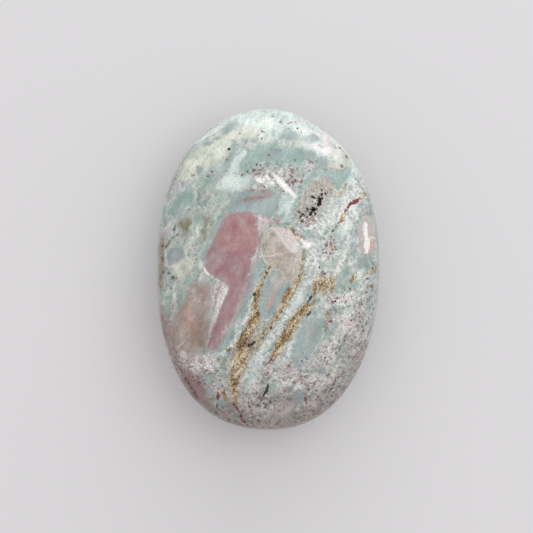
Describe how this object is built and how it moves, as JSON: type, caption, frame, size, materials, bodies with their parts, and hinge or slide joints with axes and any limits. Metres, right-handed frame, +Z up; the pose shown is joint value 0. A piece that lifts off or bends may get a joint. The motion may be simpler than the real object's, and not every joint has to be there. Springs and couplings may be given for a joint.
{
  "type": "palm stone",
  "caption": "Oval polished jasper palm stone with domed face and back, a small patch of open pits, and a flat spot to rest on.",
  "frame": {"origin": "on the surface that the stone lies on, under the middle of its outline", "axes": "+Z up out of the face, +Y along the stone, +X across it to the right as one looks down on the face"},
  "size_m": [0.0486, 0.07, 0.024],
  "materials": {
    "jasper": "polished pale blue-green jasper with pink, cream and ochre markings"
  },
  "bodies": {
    "root": {"palm_stone": "jasper"}
  },
  "joints": []
}
